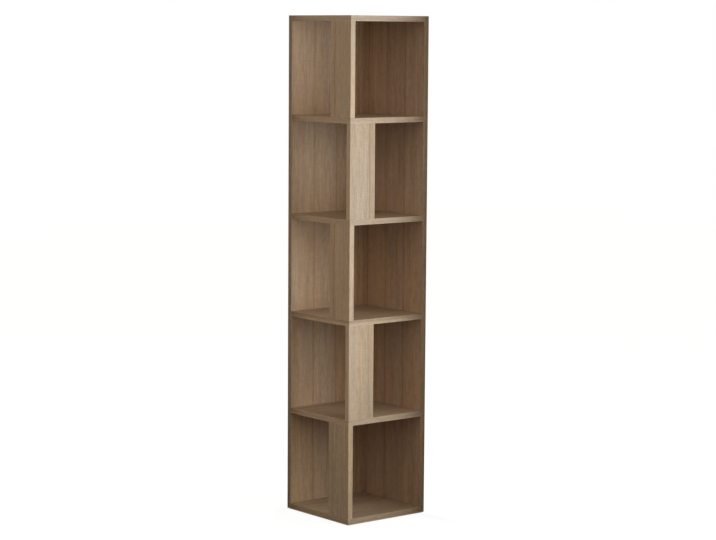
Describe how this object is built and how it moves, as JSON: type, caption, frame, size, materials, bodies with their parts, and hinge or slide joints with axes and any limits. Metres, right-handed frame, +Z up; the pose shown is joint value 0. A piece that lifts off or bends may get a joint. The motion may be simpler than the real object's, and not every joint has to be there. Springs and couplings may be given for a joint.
{
  "type": "corner shelving unit",
  "caption": "Tall open corner shelving unit: oak-look panels at right angles carry square shelves, with narrow posts that change sides from tier to tier at the free corner.",
  "frame": {"origin": "on the floor, under the middle of the unit's square outline", "axes": "+Z up; the unit is open towards -X, its left face, and -Y, its front face; the panels at +X and +Y stand against the walls"},
  "size_m": [0.318, 0.318, 1.61],
  "materials": {
    "oak_board": "matt laminate with a light oak decor and a fine grain",
    "oak_edge_band": "printed edge band in the same oak decor, matt",
    "zinc_steel": "zinc-plated steel",
    "zinc_cast": "bare zinc die casting, dull",
    "beech": "raw beech, fluted",
    "cap_plastic": "moulded plastic in the colour of the boards",
    "glide_plastic": "dark brown moulded plastic"
  },
  "bodies": {
    "root": {"side_panel": "oak_board", "back_panel": "oak_board", "bottom_board": "oak_board", "shelf_1": "oak_board", "shelf_2": "oak_board", "shelf_3": "oak_board", "shelf_4": "oak_board", "top_board": "oak_board", "post_1": "oak_board", "post_2": "oak_board", "post_3": "oak_board", "post_4": "oak_board", "post_5": "oak_board", "side_panel_edge_bands": "oak_edge_band", "back_panel_edge_bands": "oak_edge_band", "bottom_board_edge_bands": "oak_edge_band", "shelf_1_edge_bands": "oak_edge_band", "shelf_2_edge_bands": "oak_edge_band", "shelf_3_edge_bands": "oak_edge_band", "shelf_4_edge_bands": "oak_edge_band", "top_board_edge_bands": "oak_edge_band", "post_1_edge_bands": "oak_edge_band", "post_2_edge_bands": "oak_edge_band", "post_3_edge_bands": "oak_edge_band", "post_4_edge_bands": "oak_edge_band", "post_5_edge_bands": "oak_edge_band", "panel_screws": "zinc_steel", "post_dowels": "beech", "cam_bolts": "zinc_steel", "cam_locks": "zinc_cast", "cam_caps": "cap_plastic", "glide_pads": "glide_plastic", "glide_nails": "zinc_steel"}
  },
  "joints": []
}
